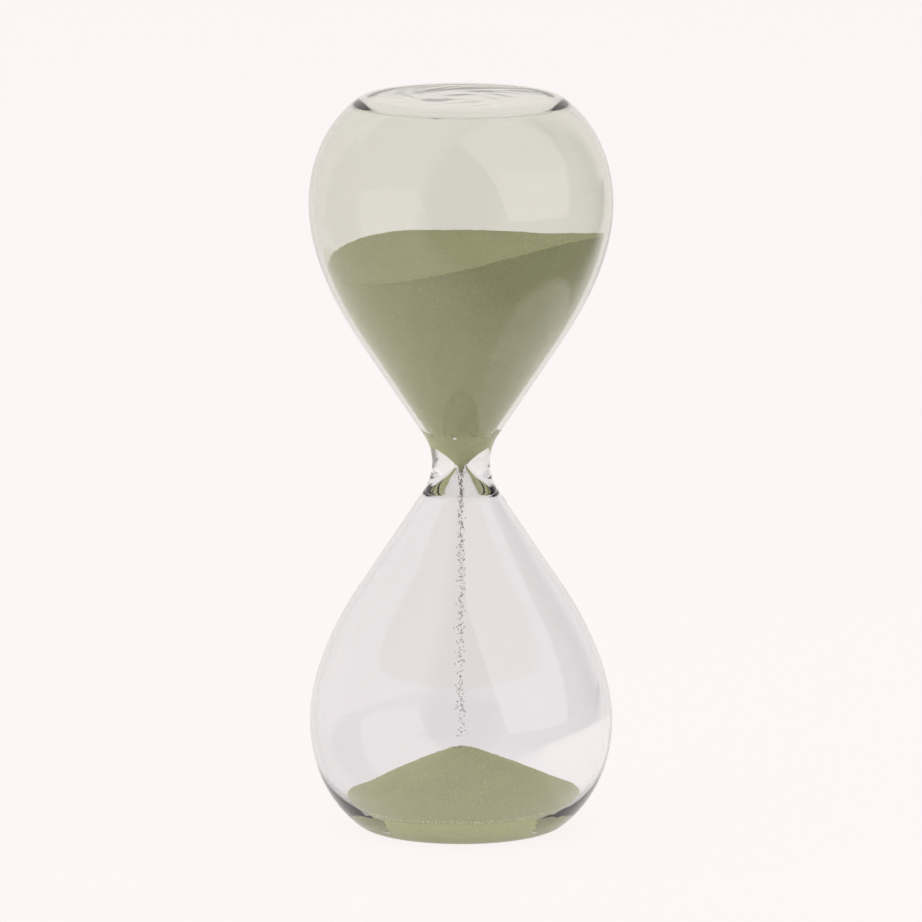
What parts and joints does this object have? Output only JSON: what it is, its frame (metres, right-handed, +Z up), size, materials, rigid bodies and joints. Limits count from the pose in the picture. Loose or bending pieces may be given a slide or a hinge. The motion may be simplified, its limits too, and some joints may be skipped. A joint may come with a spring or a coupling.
{
  "type": "hourglass",
  "caption": "Frameless blown-glass hourglass with flat ends and a thick waist, its green-grey sand running from the upper bulb to the heap in the lower one.",
  "frame": {"origin": "middle of the flat base that the hourglass stands on", "axes": "+Z up along the axis of both bulbs, +X to the right seen from the front, where the upper sand lies higher"},
  "size_m": [0.082, 0.082, 0.2],
  "materials": {
    "clear_glass": "polished",
    "greenish_glass": "polished",
    "sand": "matte",
    "falling_sand": "matte"
  },
  "bodies": {
    "glass": {"lower_bulb": "clear_glass", "upper_bulb": "greenish_glass", "fill_hole_seal": "greenish_glass", "lower_sand": "sand", "upper_sand": "sand"},
    "falling_sand_01": {"falling_sand_01": "falling_sand"},
    "falling_sand_02": {"falling_sand_02": "falling_sand"},
    "falling_sand_03": {"falling_sand_03": "falling_sand"},
    "falling_sand_04": {"falling_sand_04": "falling_sand"},
    "falling_sand_05": {"falling_sand_05": "falling_sand"},
    "falling_sand_06": {"falling_sand_06": "falling_sand"},
    "falling_sand_07": {"falling_sand_07": "falling_sand"},
    "falling_sand_08": {"falling_sand_08": "falling_sand"},
    "falling_sand_09": {"falling_sand_09": "falling_sand"},
    "falling_sand_10": {"falling_sand_10": "falling_sand"},
    "falling_sand_11": {"falling_sand_11": "falling_sand"},
    "falling_sand_12": {"falling_sand_12": "falling_sand"},
    "falling_sand_13": {"falling_sand_13": "falling_sand"},
    "falling_sand_14": {"falling_sand_14": "falling_sand"},
    "falling_sand_15": {"falling_sand_15": "falling_sand"}
  },
  "joints": [
    {"name": "falling_sand_01_drop", "type": "slide", "parent": "glass", "child": "falling_sand_01", "axis": [0, 0, -1], "range_m": [0, 0.00137]},
    {"name": "falling_sand_02_drop", "type": "slide", "parent": "glass", "child": "falling_sand_02", "axis": [0, 0, -1], "range_m": [0, 0.00191]},
    {"name": "falling_sand_03_drop", "type": "slide", "parent": "glass", "child": "falling_sand_03", "axis": [0, 0, -1], "range_m": [0, 0.00245]},
    {"name": "falling_sand_04_drop", "type": "slide", "parent": "glass", "child": "falling_sand_04", "axis": [0, 0, -1], "range_m": [0, 0.00299]},
    {"name": "falling_sand_05_drop", "type": "slide", "parent": "glass", "child": "falling_sand_05", "axis": [0, 0, -1], "range_m": [0, 0.00354]},
    {"name": "falling_sand_06_drop", "type": "slide", "parent": "glass", "child": "falling_sand_06", "axis": [0, 0, -1], "range_m": [0, 0.00408]},
    {"name": "falling_sand_07_drop", "type": "slide", "parent": "glass", "child": "falling_sand_07", "axis": [0, 0, -1], "range_m": [0, 0.00462]},
    {"name": "falling_sand_08_drop", "type": "slide", "parent": "glass", "child": "falling_sand_08", "axis": [0, 0, -1], "range_m": [0, 0.00517]},
    {"name": "falling_sand_09_drop", "type": "slide", "parent": "glass", "child": "falling_sand_09", "axis": [0, 0, -1], "range_m": [0, 0.00571]},
    {"name": "falling_sand_10_drop", "type": "slide", "parent": "glass", "child": "falling_sand_10", "axis": [0, 0, -1], "range_m": [0, 0.00625]},
    {"name": "falling_sand_11_drop", "type": "slide", "parent": "glass", "child": "falling_sand_11", "axis": [0, 0, -1], "range_m": [0, 0.0068]},
    {"name": "falling_sand_12_drop", "type": "slide", "parent": "glass", "child": "falling_sand_12", "axis": [0, 0, -1], "range_m": [0, 0.00734]},
    {"name": "falling_sand_13_drop", "type": "slide", "parent": "glass", "child": "falling_sand_13", "axis": [0, 0, -1], "range_m": [0, 0.00788]},
    {"name": "falling_sand_14_drop", "type": "slide", "parent": "glass", "child": "falling_sand_14", "axis": [0, 0, -1], "range_m": [0, 0.00843]},
    {"name": "falling_sand_15_drop", "type": "slide", "parent": "glass", "child": "falling_sand_15", "axis": [0, 0, -1], "range_m": [0, 0.00897]}
  ],
  "couplings": [
    {"joint": "falling_sand_01_drop", "follows": "falling_sand_15_drop", "ratio": 0.15223},
    {"joint": "falling_sand_02_drop", "follows": "falling_sand_15_drop", "ratio": 0.21278},
    {"joint": "falling_sand_03_drop", "follows": "falling_sand_15_drop", "ratio": 0.27334},
    {"joint": "falling_sand_04_drop", "follows": "falling_sand_15_drop", "ratio": 0.33389},
    {"joint": "falling_sand_05_drop", "follows": "falling_sand_15_drop", "ratio": 0.39445},
    {"joint": "falling_sand_06_drop", "follows": "falling_sand_15_drop", "ratio": 0.455},
    {"joint": "falling_sand_07_drop", "follows": "falling_sand_15_drop", "ratio": 0.51556},
    {"joint": "falling_sand_08_drop", "follows": "falling_sand_15_drop", "ratio": 0.57611},
    {"joint": "falling_sand_09_drop", "follows": "falling_sand_15_drop", "ratio": 0.63667},
    {"joint": "falling_sand_10_drop", "follows": "falling_sand_15_drop", "ratio": 0.69722},
    {"joint": "falling_sand_11_drop", "follows": "falling_sand_15_drop", "ratio": 0.75778},
    {"joint": "falling_sand_12_drop", "follows": "falling_sand_15_drop", "ratio": 0.81833},
    {"joint": "falling_sand_13_drop", "follows": "falling_sand_15_drop", "ratio": 0.87889},
    {"joint": "falling_sand_14_drop", "follows": "falling_sand_15_drop", "ratio": 0.93944}
  ]
}
